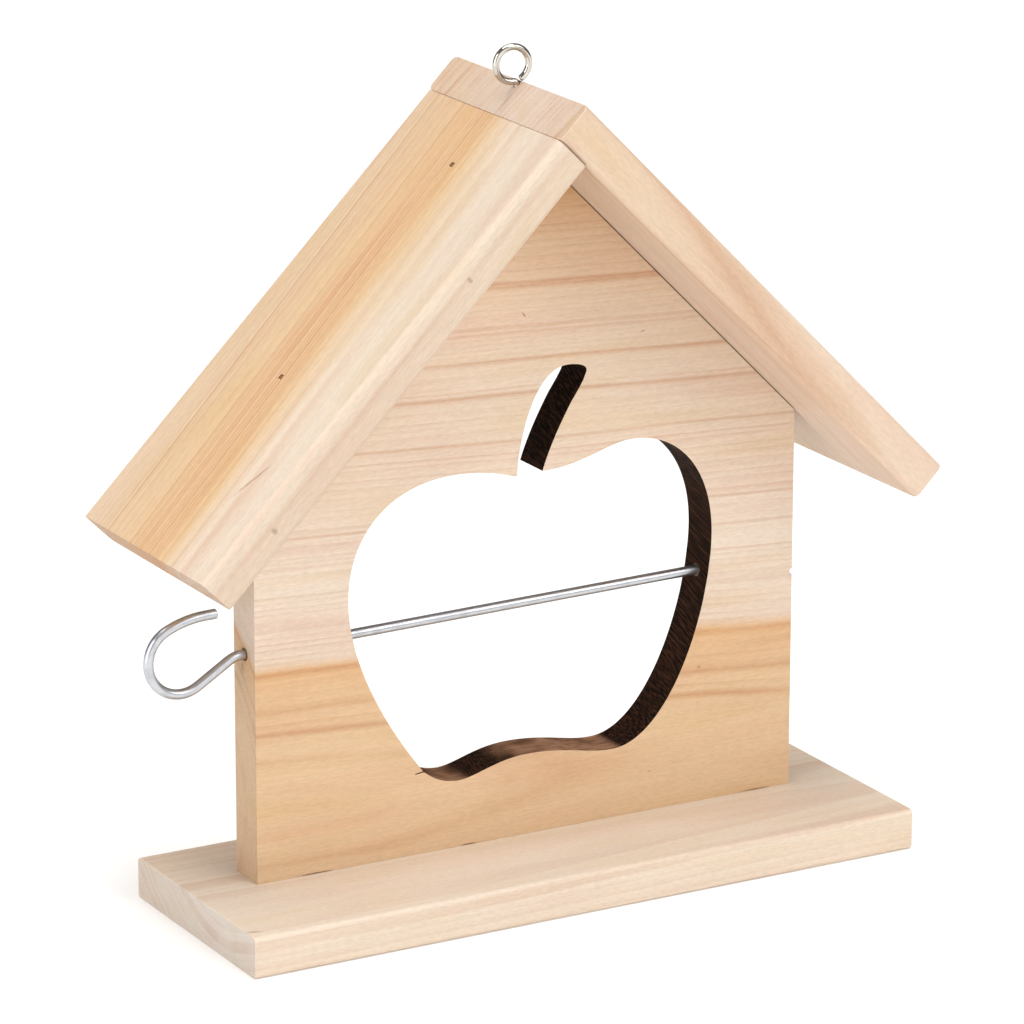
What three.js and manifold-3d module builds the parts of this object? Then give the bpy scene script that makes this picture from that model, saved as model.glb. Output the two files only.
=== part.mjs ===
// Garden feeder that holds a whole apple for the birds: a softwood house front on a base board,
// under two roof boards that meet square at the ridge. A bent wire skewer slides in from the left
// edge of the house, crosses the apple-shaped cut-out and ends in a blind hole on the right.
// Millimetres, +Z up, front towards -Y. The origin is the centre of the base board's underside.

import * as THREE from 'three';
import { mergeVertices } from 'three/addons/utils/BufferGeometryUtils.js';
import Module from 'manifold-3d';

const wasm = await Module();
wasm.setup();

// ---------------------------------------------------------------- driving dimensions, millimetres

const base = { length: 220, depth: 76, thick: 12.5, edgeRadius: 1.5 };

// The house front stands on the base with its front face on the base's centre line.
const panel = { width: 180, thick: 13.3, wallHeight: 117.5, frontY: 0 };

// The slopes meet at a right angle, so the roof pitch is always 45 degrees.
const roof = { thick: 12.5, depth: 77.5, overhang: 32, edgeRadius: 2 };

// The apple is centred on the house; its stem leans to the right out of the dip between the lobes.
const apple = { width: 121.5, height: 95.5, centreX: 0.9, centreZ: 80.8 };
const stem = { footHalfWidth: 4.1, height: 31.5, lean: 12.4, topWidth: 10.8, footOffset: -1.3, footBelowDip: 0.4 };
const kerf = { width: 0.6, length: 3.8, angle: 188 };

// Skewer wire: it crosses the house at mid-thickness and climbs slightly to the right.
const skewer = {
  wireDiameter: 3, axisHeight: 82, rise: 1, tipDepth: 9, pointLength: 7, pointDiameter: 0.8,
  neck: 1.1, neckBend: 8, legAngle: 30.5, leg: 11.4, loopRadius: 10.15, loopTurn: 186.5,
  lipRadius: 30, lipTurn: 24, lip: 3.5,
};
const skewerHole = { clearance: 0.5, endClearance: 2, startBefore: 5 };

// Screw eye: it stands on the ridge, a little to the left of the edge, and leans to the left.
const eye = {
  wireDiameter: 2, ringRadius: 5.1, ringHeight: 6.1, neckBend: 1.2, gapAngle: 25,
  shank: 14, threadDiameter: 2.8, threadPitch: 1.2, offset: 1, lean: 15, turn: 6, seatDiameter: 4.6,
};

const brad = { length: 30, diameter: 1.3, headDiameter: 2, headThick: 0.8, point: 2, sunk: 0.3 };
const bradPlaces = { fromApex: 18.5, fromEave: 30.8, fromRoofEdge: 13.75 };

const screw = {
  length: 30, rootDiameter: 2.3, threadDiameter: 3.5, threadPitch: 1.8, plainLength: 11,
  headDiameter: 7, headDepth: 2.2, rim: 0.4, point: 3, sunk: 0.4, fromPanelSide: 28,
  recessWidth: 1, recessSpan: 4, recessDepth: 1.6,
};

const jointGap = 0.3;        // between a sloping board and what it meets
const pilotClearance = 0.3;  // round each fastener in its hole

// ---------------------------------------------------------------- worked-out places

const panelCentreY = panel.frontY + panel.thick / 2;
const eaveZ = base.thick + panel.wallHeight;
const apexZ = eaveZ + panel.width / 2;
const slopeLength = (panel.width / 2) * Math.SQRT2;
const roofRun = slopeLength + roof.overhang;
const ridgeZ = apexZ + (roof.thick + jointGap) * Math.SQRT2;
const quarterTurn = Math.PI / 2;
const roofPitch = Math.PI / 4;

// ---------------------------------------------------------------- finishes

const finish = (color, roughness, metalness) => new THREE.MeshStandardMaterial({ color, roughness, metalness });
const palePine = finish('#e3c8a4', 0.62, 0);
const warmPine = finish('#dcb98a', 0.62, 0);
const zincWire = finish('#b9b8b4', 0.35, 1);
const nickel = finish('#d0ccc4', 0.2, 1);
const brightSteel = finish('#a8a49c', 0.4, 1);

// ---------------------------------------------------------------- solids

/** Turns a closed three.js geometry into a solid that can be cut and joined. */
function toSolid(geometry) {
  const bare = geometry.clone();
  bare.deleteAttribute('normal');
  bare.deleteAttribute('uv');
  const merged = mergeVertices(bare, 1e-4);
  const triangles = [];
  const corner = merged.index.array;
  for (let i = 0; i < corner.length; i += 3) {
    const [a, b, c] = [corner[i], corner[i + 1], corner[i + 2]];
    if (a !== b && b !== c && c !== a) triangles.push(a, b, c);
  }
  return new wasm.Manifold(new wasm.Mesh({
    numProp: 3,
    vertProperties: new Float32Array(merged.attributes.position.array),
    triVerts: new Uint32Array(triangles),
  }));
}

/** Turns a solid back into a flat-shaded geometry. */
function toGeometry(solid) {
  const mesh = solid.getMesh();
  const geometry = new THREE.BufferGeometry();
  geometry.setAttribute('position', new THREE.BufferAttribute(mesh.vertProperties, 3));
  geometry.setIndex(new THREE.BufferAttribute(mesh.triVerts, 1));
  const flat = geometry.toNonIndexed();
  flat.computeVertexNormals();
  return flat;
}

/** The first geometry with every other one taken out of it. */
function without(geometry, ...cutters) {
  return toGeometry(cutters.reduce((rest, cutter) => rest.subtract(toSolid(cutter)), toSolid(geometry)));
}

/** A shape turned about +Z from [radius, height] pairs that run up from the axis back to the axis. */
function turned(profile, sides) {
  const points = profile.map(([radius, height]) => new THREE.Vector2(radius, height));
  return new THREE.LatheGeometry(points, sides).rotateX(quarterTurn);
}

/** An outline in X and Z carried along +Y from one depth to another. */
function through(outline, fromY, toY, curveSegments = 12) {
  return new THREE.ExtrudeGeometry(outline, { depth: toY - fromY, bevelEnabled: false, curveSegments })
    .rotateX(quarterTurn)
    .translate(0, toY, 0);
}

/** A board whose long edges, along X, are rounded over and whose ends are sawn square. */
function board(fromX, toX, depth, thick, edgeRadius) {
  const [w, h, r] = [depth / 2, thick, Math.min(edgeRadius, thick / 2.5)];
  const section = new THREE.Shape();
  section.absarc(w - r, r, r, -quarterTurn, 0);
  section.absarc(w - r, h - r, r, 0, quarterTurn);
  section.absarc(r - w, h - r, r, quarterTurn, 2 * quarterTurn);
  section.absarc(r - w, r, r, 2 * quarterTurn, 3 * quarterTurn);
  const alongX = new THREE.Matrix4().makeBasis(
    new THREE.Vector3(0, 1, 0), new THREE.Vector3(0, 0, 1), new THREE.Vector3(1, 0, 0));
  return new THREE.ExtrudeGeometry(section, { depth: toX - fromX, bevelEnabled: false, curveSegments: 3 })
    .applyMatrix4(alongX)
    .translate(fromX, 0, 0);
}

/** A wire's centre line in the XZ plane: straight runs and round bends laid end to end. */
class BentWire extends THREE.Curve {
  /** Stretches are { run } or { radius, turn }, with a positive turn to the left, in degrees. */
  constructor(start, headingDegrees, stretches) {
    super();
    this.stretches = [];
    this.wireLength = 0;
    let from = start.clone();
    let heading = THREE.MathUtils.degToRad(headingDegrees);
    for (const { run, radius, turn } of stretches) {
      const angle = THREE.MathUtils.degToRad(turn ?? 0);
      const stretch = { from, heading, radius, side: Math.sign(angle), length: run ?? radius * Math.abs(angle) };
      this.stretches.push(stretch);
      this.wireLength += stretch.length;
      from = BentWire.along(stretch, stretch.length);
      heading += angle;
    }
  }

  static along({ from, heading, radius, side }, distance) {
    if (!radius) return new THREE.Vector2(Math.cos(heading), Math.sin(heading)).multiplyScalar(distance).add(from);
    const leftOf = (angle) => new THREE.Vector2(-Math.sin(angle), Math.cos(angle));
    const centre = leftOf(heading).multiplyScalar(side * radius).add(from);
    return centre.sub(leftOf(heading + (side * distance) / radius).multiplyScalar(side * radius));
  }

  getPoint(t, target = new THREE.Vector3()) {
    let distance = t * this.wireLength;
    const last = this.stretches.length - 1;
    const index = this.stretches.findIndex(({ length }, i) => {
      if (distance <= length || i === last) return true;
      distance -= length;
      return false;
    });
    const { x, y } = BentWire.along(this.stretches[index], distance);
    return target.set(x, 0, y);
  }
}

/** Round wire carried along a bent path. */
function bentRod(path, diameter, sides, step) {
  const section = new THREE.Shape().absarc(0, 0, diameter / 2, 0, 2 * Math.PI);
  return new THREE.ExtrudeGeometry(section, {
    extrudePath: path, steps: Math.round(path.wireLength / step), curveSegments: sides / 2, bevelEnabled: false,
  });
}

/** Radius and height pairs of a screw thread from its point up, drawn as separate rings. */
function threadProfile(fromZ, toZ, rootRadius, crestRadius, pitch) {
  const profile = [];
  const turns = Math.floor((toZ - fromZ) / pitch);
  for (let i = 0; i < turns; i += 1) {
    const z = fromZ + i * pitch;
    profile.push([rootRadius, z], [crestRadius, z + pitch * 0.5], [rootRadius, z + pitch * 0.7]);
  }
  return profile;
}

/** A named piece with its finish. */
function piece(name, geometry, material) {
  const mesh = new THREE.Mesh(geometry, material);
  mesh.name = name;
  return mesh;
}

/** Drills the hole that belongs to a fastener, given in the fastener's own frame, out of some boards. */
function drillFor(fastener, hole, boards) {
  fastener.updateWorldMatrix(true, false);
  for (const wood of boards) {
    wood.updateWorldMatrix(true, false);
    const intoWood = wood.matrixWorld.clone().invert().multiply(fastener.matrixWorld);
    wood.geometry = without(wood.geometry, hole.clone().applyMatrix4(intoWood));
  }
}

// ---------------------------------------------------------------- boards

/** The pentagon of the house front, in X and Z. */
function houseOutline() {
  const side = panel.width / 2;
  return new THREE.Shape([
    new THREE.Vector2(-side, base.thick), new THREE.Vector2(side, base.thick),
    new THREE.Vector2(side, eaveZ), new THREE.Vector2(0, apexZ), new THREE.Vector2(-side, eaveZ),
  ]);
}

// The bottom of the dip between the lobes, as a share of the apple's half height.
const appleDip = 0.885;

/** The apple, drawn in shares of its half width and half height: lobes, cheeks and a dimpled foot. */
function appleOutline() {
  const at = (u, v) => [apple.centreX + (u * apple.width) / 2, apple.centreZ + (v * apple.height) / 2];
  const outline = new THREE.Shape();
  const bend = (a, b, c) => outline.bezierCurveTo(...at(...a), ...at(...b), ...at(...c));
  outline.moveTo(...at(0.046, appleDip + 0.005));
  bend([0.26, 0.88], [0.41, 1.005], [0.545, 1.005]);      // right lobe
  bend([0.825, 1.005], [1, 0.715], [1, 0.32]);            // right cheek, down
  bend([1, -0.185], [0.76, -1.02], [0.42, -0.98]);        // right foot
  bend([0.31, -0.977], [0.18, -0.91], [-0.015, -0.91]);   // rise under the core
  bend([-0.2, -0.905], [-0.31, -1], [-0.41, -1]);         // left foot
  bend([-0.49, -1], [-0.545, -0.96], [-0.6, -0.905]);     // to the sharp corner
  bend([-0.772, -0.625], [-1, -0.165], [-1, 0.255]);      // left cheek, up
  bend([-1, 0.685], [-0.772, 0.95], [-0.426, 0.95]);      // left lobe
  bend([-0.295, 0.95], [-0.18, 0.918], [-0.102, appleDip - 0.003]);  // into the dip
  return outline;
}

/** The stem slot: a bowed left side, a blunt top and a straight right side. */
function stemOutline() {
  const footX = apple.centreX + stem.footOffset;
  const footZ = apple.centreZ + (appleDip * apple.height) / 2 - stem.footBelowDip;
  const at = (x, z) => [footX + x, footZ + z];
  const { height, lean, topWidth, footHalfWidth: foot } = stem;
  const outline = new THREE.Shape();
  outline.moveTo(...at(-foot - 0.4, -2));
  outline.lineTo(...at(-foot, 0));
  outline.bezierCurveTo(...at(0.5 - foot, height * 0.36), ...at(lean - topWidth, height), ...at(lean, height));
  outline.bezierCurveTo(...at(lean + 3.7, height), ...at(lean + 7.3, height - 0.9), ...at(lean + 6.4, height - 3));
  outline.bezierCurveTo(...at(lean + 1.7, height * 0.65), ...at(foot + 3.6, height * 0.35), ...at(foot, 0));
  outline.lineTo(...at(foot - 0.9, -2));
  return outline;
}

/** The saw's overrun at the apple's sharp lower left corner. */
function kerfOutline() {
  const cornerX = apple.centreX - 0.585 * (apple.width / 2);
  const cornerZ = apple.centreZ - 0.9 * (apple.height / 2);
  const angle = THREE.MathUtils.degToRad(kerf.angle);
  const slit = [[-0.8, -0.5], [kerf.length, -0.2], [kerf.length, 0.2], [-0.8, 0.5]];
  return new THREE.Shape(slit.map(([along, across]) => new THREE.Vector2(
    cornerX + along * Math.cos(angle) - across * kerf.width * Math.sin(angle),
    cornerZ + along * Math.sin(angle) + across * kerf.width * Math.cos(angle))));
}

function makeHousePanel() {
  const past = 5;
  const [fromY, toY] = [panel.frontY, panel.frontY + panel.thick];
  const cuts = [appleOutline(), stemOutline(), kerfOutline()];
  const blank = through(houseOutline(), fromY, toY);
  return piece('house_panel', without(blank, ...cuts.map((cut) => through(cut, fromY - past, toY + past))), warmPine);
}

function makeBaseBoard() {
  const half = base.length / 2;
  return piece('base_board', board(-half, half, base.depth, base.thick, base.edgeRadius), palePine);
}

/** The left roof board ends square against the underside of the right one, which covers its end. */
function makeRoofBoards() {
  const left = piece('roof_board_left', board(-roofRun, 0, roof.depth, roof.thick, roof.edgeRadius), warmPine);
  const right = piece('roof_board_right',
    board(-roof.thick - jointGap, roofRun, roof.depth, roof.thick, roof.edgeRadius), palePine);
  left.position.z = jointGap;
  right.position.z = jointGap;
  return { left, right };
}

/** The frame of one slope: X along the slope towards +X, Z out of the roof, origin at the panel's apex. */
function slopeFrame(pitch) {
  const frame = new THREE.Group();
  frame.position.set(0, panelCentreY, apexZ);
  frame.rotation.y = pitch;
  return frame;
}

// ---------------------------------------------------------------- skewer

/** The wire from its point, through the house, round the finger loop to its free end. */
function makeSkewer() {
  const cheekX = apple.centreX + apple.width / 2;
  const tipX = cheekX + skewer.tipDepth;
  const neckX = -panel.width / 2 - skewer.neck;
  const path = new BentWire(new THREE.Vector2(tipX, 0), 180, [
    { run: tipX - neckX },
    { radius: skewer.neckBend, turn: skewer.legAngle },
    { run: skewer.leg },
    { radius: skewer.loopRadius, turn: -skewer.loopTurn },
    { radius: skewer.lipRadius, turn: -skewer.lipTurn },
    { run: skewer.lip },
  ]);
  const wire = bentRod(path, skewer.wireDiameter, 12, 2.4);
  // A cone keeps the point and a wide disc keeps all the rest of the wire.
  const reach = panel.width;
  const keep = turned([
    [0, -reach], [reach, -reach], [reach, tipX - skewer.pointLength],
    [skewer.wireDiameter / 2, tipX - skewer.pointLength], [skewer.pointDiameter / 2, tipX], [0, tipX],
  ], 24).rotateY(quarterTurn);
  const rod = piece('skewer', toGeometry(toSolid(wire).intersect(toSolid(keep))), zincWire);
  rod.position.set(0, panelCentreY, skewer.axisHeight);
  rod.rotation.y = THREE.MathUtils.degToRad(-skewer.rise);

  const radius = skewer.wireDiameter / 2 + skewerHole.clearance;
  const startX = -panel.width / 2 - skewerHole.startBefore;
  const endX = tipX + skewerHole.endClearance;
  const hole = turned([[0, startX], [radius, startX], [radius, endX], [0, endX + radius * 0.6]], 20)
    .rotateY(quarterTurn);
  return { rod, hole };
}

// ---------------------------------------------------------------- fasteners

/** The wire eye: its ring, its neck and a threaded shank. Local Z is the shank, with 0 at the wood. */
function makeScrewEye() {
  const wireRadius = eye.wireDiameter / 2;
  // The neck bends left out of the shank and meets the ring where both run the same way.
  const neckDrop = Math.sqrt(eye.ringRadius ** 2 + 2 * eye.ringRadius * eye.neckBend);
  const neckZ = eye.ringHeight - neckDrop;
  const neckTurn = THREE.MathUtils.radToDeg(Math.acos(eye.neckBend / (eye.ringRadius + eye.neckBend)));
  const ringTurn = 360 - (90 - neckTurn) - eye.gapAngle;
  const plain = 2;
  const path = new BentWire(new THREE.Vector2(0, -plain - 1), 90, [
    { run: plain + 1 + neckZ },
    { radius: eye.neckBend, turn: neckTurn },
    { radius: eye.ringRadius, turn: -ringTurn },
  ]);
  const bottom = -eye.shank;
  const point = 3;
  const shank = turned([
    [0, bottom],
    ...threadProfile(bottom + point, -plain, wireRadius * 0.8, eye.threadDiameter / 2, eye.threadPitch),
    [wireRadius * 0.8, -plain], [0, -plain],
  ], 14);
  const body = toSolid(bentRod(path, eye.wireDiameter, 14, 0.75)).add(toSolid(shank));
  const screwEye = piece('screw_eye', toGeometry(body), nickel);
  screwEye.position.set(-eye.offset, panelCentreY, ridgeZ - eye.offset);
  screwEye.rotation.order = 'YZX';
  screwEye.rotation.y = THREE.MathUtils.degToRad(-eye.lean);
  screwEye.rotation.z = THREE.MathUtils.degToRad(-eye.turn);

  const radius = eye.threadDiameter / 2 + pilotClearance;
  const seat = eye.seatDiameter / 2;
  const hole = turned([
    [0, bottom - 1], [radius, bottom + 0.5], [radius, radius - seat], [seat, 0], [seat, 4], [0, 4],
  ], 20);
  return { screwEye, hole };
}

/** A brad driven down local -Z from a surface at Z = 0. */
function makeBrad(name) {
  const radius = brad.diameter / 2;
  const head = brad.headDiameter / 2;
  const [top, tip] = [-brad.sunk, -brad.sunk - brad.length];
  const profile = [
    [0, tip], [radius, tip + brad.point], [radius, top - brad.headThick], [head, top - brad.headThick / 2],
    [head, top], [0, top],
  ];
  return piece(name, turned(profile, 10), brightSteel);
}

function bradHole() {
  const radius = brad.diameter / 2 + pilotClearance;
  const head = brad.headDiameter / 2 + pilotClearance;
  const top = -brad.sunk;
  const step = top - brad.headThick - pilotClearance;
  return turned([
    [0, top - brad.length - pilotClearance], [radius, top - brad.length + brad.point / 2],
    [radius, step], [head, step], [head, 2], [0, 2],
  ], 12);
}

/** A countersunk wood screw with a cross recess, driven up local +Z from a surface at Z = 0. */
function makeScrew(name) {
  const head = screw.headDiameter / 2;
  const root = screw.rootDiameter / 2;
  const [face, tip] = [screw.sunk, screw.sunk + screw.length];
  const neck = face + screw.rim + screw.headDepth;
  const body = turned([
    [0, face], [head, face], [head, face + screw.rim], [root, neck], [root, face + screw.plainLength - 0.2],
    ...threadProfile(face + screw.plainLength, tip - screw.point, root, screw.threadDiameter / 2, screw.threadPitch),
    [root, tip - screw.point], [0, tip],
  ], 16);
  const slot = (angle) => new THREE.BoxGeometry(screw.recessSpan, screw.recessWidth, 2 * screw.recessDepth)
    .rotateZ(angle)
    .translate(0, 0, face);
  return piece(name, without(body, slot(roofPitch), slot(-roofPitch)), brightSteel);
}

function screwHole() {
  const head = screw.headDiameter / 2 + pilotClearance;
  const shank = screw.threadDiameter / 2 + pilotClearance;
  const rimTop = screw.sunk + screw.rim + pilotClearance;
  const tip = screw.sunk + screw.length + pilotClearance;
  return turned([
    [0, -2], [head, -2], [head, rimTop], [shank, rimTop + head - shank], [shank, tip - screw.point / 2], [0, tip],
  ], 16);
}

// ---------------------------------------------------------------- assembly

const feeder = new THREE.Group();
const housePanel = makeHousePanel();
const baseBoard = makeBaseBoard();
const { left: roofLeft, right: roofRight } = makeRoofBoards();
const leftSlope = slopeFrame(-roofPitch);
const rightSlope = slopeFrame(roofPitch);
leftSlope.add(roofLeft);
rightSlope.add(roofRight);
feeder.add(baseBoard, housePanel, leftSlope, rightSlope);

const { rod, hole: rodHole } = makeSkewer();
feeder.add(rod);
drillFor(rod, rodHole, [housePanel]);

const { screwEye, hole: eyeHole } = makeScrewEye();
feeder.add(screwEye);
drillFor(screwEye, eyeHole, [roofRight]);

// Screws come up through the base into the foot of the house.
for (const [side, name] of [[-1, 'base_screw_left'], [1, 'base_screw_right']]) {
  const fastener = makeScrew(name);
  fastener.position.set(side * (panel.width / 2 - screw.fromPanelSide), panelCentreY, 0);
  feeder.add(fastener);
  drillFor(fastener, screwHole(), [baseBoard, housePanel]);
}

// Brads go through each roof board into the sloping edges of the house.
const outerFace = jointGap + roof.thick;
for (const [slope, roofBoard, side, sideName] of [
  [leftSlope, roofLeft, -1, 'left'], [rightSlope, roofRight, 1, 'right']]) {
  for (const [place, fromApex] of [
    ['upper', bradPlaces.fromApex], ['lower', slopeLength - bradPlaces.fromEave]]) {
    const fastener = makeBrad(`roof_brad_${sideName}_${place}`);
    fastener.position.set(side * fromApex, 0, outerFace);
    slope.add(fastener);
    drillFor(fastener, bradHole(), [roofBoard, housePanel]);
  }
}

// Two more go through the top of the right board into the end of the left one.
for (const [side, name] of [[-1, 'ridge_brad_front'], [1, 'ridge_brad_back']]) {
  const fastener = makeBrad(name);
  fastener.position.set(-jointGap - roof.thick / 2, side * (roof.depth / 2 - bradPlaces.fromRoofEdge), outerFace);
  rightSlope.add(fastener);
  drillFor(fastener, bradHole(), [roofRight, roofLeft]);
}

export default feeder;
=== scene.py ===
"""The looks of a garden feeder that holds an apple on a wire skewer inside a softwood house front.

The sawn boards, the bent wires and the fasteners are each modelled in a frame of their own, in
millimetres, and end in metres in the feeder's frame: +X along the base board to the right, -Y towards
the front and +Z up.
"""

import logging
import math
from collections.abc import Callable, Sequence
from dataclasses import dataclass, field
from enum import Enum
from typing import Any

import bmesh
import bpy
from bmesh.types import BMEdge, BMesh, BMFace, BMVert
from bpy.types import ColorRamp, Material, NodeSocket, Object, World
from mathutils import Matrix, Vector


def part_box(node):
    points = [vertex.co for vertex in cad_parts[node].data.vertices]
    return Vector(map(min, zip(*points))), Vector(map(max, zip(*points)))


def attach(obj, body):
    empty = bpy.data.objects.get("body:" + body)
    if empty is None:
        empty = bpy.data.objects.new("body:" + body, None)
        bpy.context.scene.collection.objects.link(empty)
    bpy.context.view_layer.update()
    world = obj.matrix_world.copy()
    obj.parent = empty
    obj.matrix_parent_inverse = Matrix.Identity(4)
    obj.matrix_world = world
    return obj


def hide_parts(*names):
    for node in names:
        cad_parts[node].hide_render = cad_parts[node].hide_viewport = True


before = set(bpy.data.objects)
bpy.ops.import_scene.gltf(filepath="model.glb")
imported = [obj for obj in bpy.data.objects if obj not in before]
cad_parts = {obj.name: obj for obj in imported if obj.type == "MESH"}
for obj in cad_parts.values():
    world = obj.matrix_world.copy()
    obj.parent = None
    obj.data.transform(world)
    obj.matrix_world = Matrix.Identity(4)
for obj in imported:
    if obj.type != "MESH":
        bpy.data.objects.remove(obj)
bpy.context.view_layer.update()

log = logging.getLogger("apple_feeder")

METRES = 0.001  # one millimetre
TO_METRES = Matrix.Scale(METRES, 4)
SMOOTH = {"interpolation_type": "SMOOTHSTEP"}  # makes a Map Range ease in and out

Colour = tuple[float, float, float, float]
Triple = tuple[float, float, float]


class Body(Enum):
    """The two bodies that move against each other."""

    HOUSE = "house"
    SKEWER = "skewer"


class Slot(Enum):
    """The finishes that the record names."""

    PALE_SOFTWOOD = "pale_softwood"
    WARM_SOFTWOOD = "warm_softwood"
    ZINC_WIRE = "zinc_wire"
    NICKEL_WIRE = "nickel_wire"
    BRIGHT_STEEL = "bright_steel"


class Blend(Enum):
    """How one colour lies on another."""

    GLAZE = "MULTIPLY"
    COVER = "MIX"


# ---- shaping


def measured(node: str, own_frame: Matrix) -> tuple[Vector, Vector]:
    """Measures a CAD node in the frame of its own board.

    Args:
        node: The node's name.
        own_frame: The board's frame, in metres.

    Returns:
        The lowest and highest corners in that frame, in millimetres.
    """
    inverse = (own_frame @ TO_METRES).inverted()
    points = [inverse @ vertex.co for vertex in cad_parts[node].data.vertices]
    low, high = (Vector(pick(axis) for axis in zip(*points)) for pick in (min, max))
    return low, high


def middle(low: Vector, high: Vector) -> Vector:
    """The point halfway between two corners."""
    return (low + high) / 2


def make_object(name: str, bm: BMesh, materials: Sequence[Material], place: Matrix | None = None) -> Object:
    """Turns a finished bmesh into an object at the origin, with smooth faces.

    Args:
        name: The object's name.
        bm: The bmesh, which is freed.
        materials: The materials in the order of their slots.
        place: For a bmesh in millimetres, the frame that it goes to, in metres.

    Returns:
        The object, linked to the scene.
    """
    if place is not None:
        bmesh.ops.transform(bm, matrix=place @ TO_METRES, verts=bm.verts[:])
    for face in bm.faces:
        face.smooth = True
    mesh = bpy.data.meshes.new(name)
    bm.to_mesh(mesh)
    bm.free()
    for material in materials:
        mesh.materials.append(material)
    made = bpy.data.objects.new(name, mesh)
    bpy.context.scene.collection.objects.link(made)
    return made


def carve(piece: Object, cutter: Object) -> None:
    """Cuts one object out of another, whose new walls take the cutter's material.

    Args:
        piece: The object that is cut.
        cutter: The object that is taken away and then deleted.
    """
    cut = piece.modifiers.new("cut", "BOOLEAN")
    cut.operation, cut.solver, cut.material_mode, cut.object = "DIFFERENCE", "EXACT", "TRANSFER", cutter
    depsgraph = bpy.context.evaluated_depsgraph_get()
    before = piece.data
    piece.data = bpy.data.meshes.new_from_object(piece.evaluated_get(depsgraph), depsgraph=depsgraph)
    piece.modifiers.clear()
    piece.data.name = before.name
    bpy.data.meshes.remove(before)
    bpy.data.objects.remove(cutter)


def hand_over(piece: Object, node: str, body: Body = Body.HOUSE, crease: float = 40) -> Object:
    """Shades a finished piece and puts it in its CAD node's place.

    Args:
        piece: The finished object.
        node: The CAD node that it stands for.
        body: The body that it rides on.
        crease: The angle in degrees from which an edge stays sharp.

    Returns:
        The same object.
    """
    piece.data.set_sharp_from_angle(angle=math.radians(crease))
    flats = piece.modifiers.new("flat faces stay flat", "WEIGHTED_NORMAL")
    flats.keep_sharp, flats.weight = True, 80
    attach(piece, body.value)
    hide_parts(node)
    log.info("%s: %d faces, rides on %s", piece.name, len(piece.data.polygons), body.value)
    return piece


def turned(profile: Sequence[tuple[float, float]], sides: int) -> BMesh:
    """Spins a profile about Z into a closed solid, as a lathe does.

    Args:
        profile: Radius and height pairs from the axis back to the axis, in millimetres.
        sides: Steps in the full turn.

    Returns:
        The solid, in millimetres.
    """
    bm = bmesh.new()
    points = [bm.verts.new((radius, 0, height)) for radius, height in profile]
    lines = [bm.edges.new(pair) for pair in zip(points, points[1:])]
    bmesh.ops.spin(bm, geom=points + lines, cent=(0, 0, 0), axis=(0, 0, 1), dvec=(0, 0, 0),
                   angle=math.tau, steps=sides, use_merge=True, use_duplicate=False)
    clean(bm)
    return bm


def clean(bm: BMesh) -> None:
    """Merges doubles and turns all faces outwards, in a bmesh in millimetres."""
    bmesh.ops.remove_doubles(bm, verts=bm.verts[:], dist=1e-5)
    bmesh.ops.recalc_face_normals(bm, faces=bm.faces[:])


def block(size: Sequence[float], centre: Sequence[float] = (0, 0, 0), turn: float = 0) -> BMesh:
    """A rectangular block in millimetres, turned about its own Z.

    Args:
        size: Its sizes along X, Y and Z.
        centre: Its middle.
        turn: Its turn about Z, in degrees.

    Returns:
        The block.
    """
    bm = bmesh.new()
    place = Matrix.Translation(centre) @ Matrix.Rotation(math.radians(turn), 4, "Z")
    bmesh.ops.create_cube(bm, size=1, matrix=place @ Matrix.Diagonal((*size, 1)))
    return bm


def round_over(bm: BMesh, edges: Sequence[BMEdge], radius: float, segments: int) -> None:
    """Rounds some edges over."""
    bmesh.ops.bevel(bm, geom=list(edges), offset=radius, offset_type="OFFSET", affect="EDGES",
                    segments=segments, profile=0.5, material=-1, clamp_overlap=True)


# ---- node sheets


def linear(hex_colour: str) -> Colour:
    """Turns an sRGB hex colour into the linear one that a shader takes.

    Args:
        hex_colour: The colour as "#rrggbb".

    Returns:
        Linear red, green and blue, and an alpha of 1.
    """
    shares = [int(hex_colour[i : i + 2], 16) / 255 for i in (1, 3, 5)]
    red, green, blue = (s / 12.92 if s <= 0.04045 else ((s + 0.055) / 1.055) ** 2.4 for s in shares)
    return (red, green, blue, 1.0)


def fill_ramp(ramp: ColorRamp, stops: Sequence[tuple[float, Colour]]) -> None:
    """Sets a colour ramp's stops.

    Args:
        ramp: The ramp of a Color Ramp node.
        stops: Places from 0 to 1, in rising order, with their colours.
    """
    while len(ramp.elements) > 1:
        ramp.elements.remove(ramp.elements[-1])
    ramp.elements[0].position, ramp.elements[0].color = stops[0]
    for place, colour in stops[1:]:
        ramp.elements.new(place).color = colour


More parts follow.
